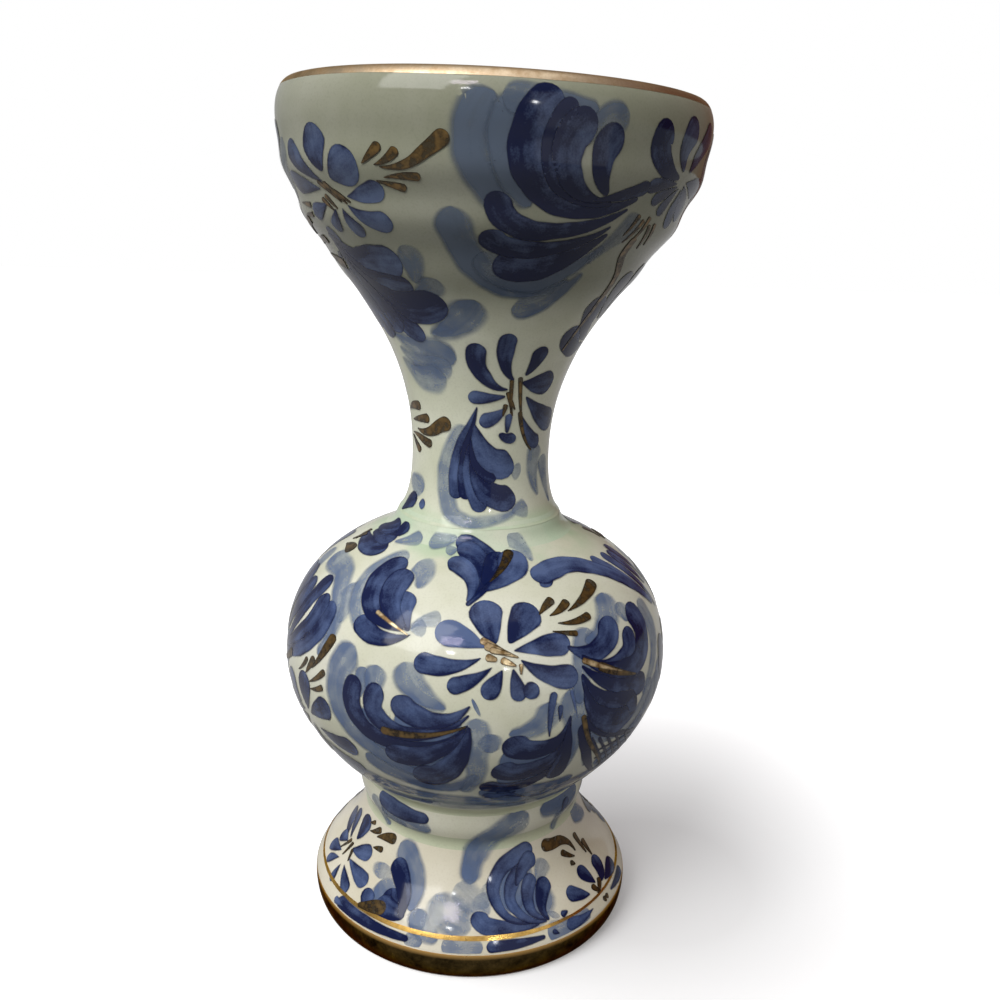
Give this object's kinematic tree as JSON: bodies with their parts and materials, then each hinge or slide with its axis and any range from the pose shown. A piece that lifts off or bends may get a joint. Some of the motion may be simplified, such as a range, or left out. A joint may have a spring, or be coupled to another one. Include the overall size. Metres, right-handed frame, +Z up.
{
  "type": "pedestal vase",
  "caption": "Glazed ceramic vase with a trumpet mouth, a slim neck, a round hollow body and a gilt pedestal foot.",
  "frame": {"origin": "centre of the foot ring's underside, on the surface that the vase stands on", "axes": "+Z up along the foot's and body's axis, -Y towards the viewer of the picture, +X towards the side that the mouth leans to"},
  "size_m": [0.1455, 0.1448, 0.3016],
  "materials": {
    "glazed_earthenware": "gloss",
    "glazed_slip": "gloss",
    "gold_lustre": "metallic",
    "cobalt_brushwork": "gloss",
    "pale_blue_wash": "gloss"
  },
  "bodies": {
    "root": {"foot": "glazed_earthenware", "foot_band_gilding": "gold_lustre", "foot_line_gilding": "gold_lustre", "foot_slip_joint": "glazed_slip", "collar": "glazed_earthenware", "collar_slip_joint": "glazed_slip", "body": "glazed_earthenware", "shoulder_slip_joint": "glazed_slip", "neck_and_mouth": "glazed_earthenware", "lip_gilding": "gold_lustre"}
  },
  "joints": []
}
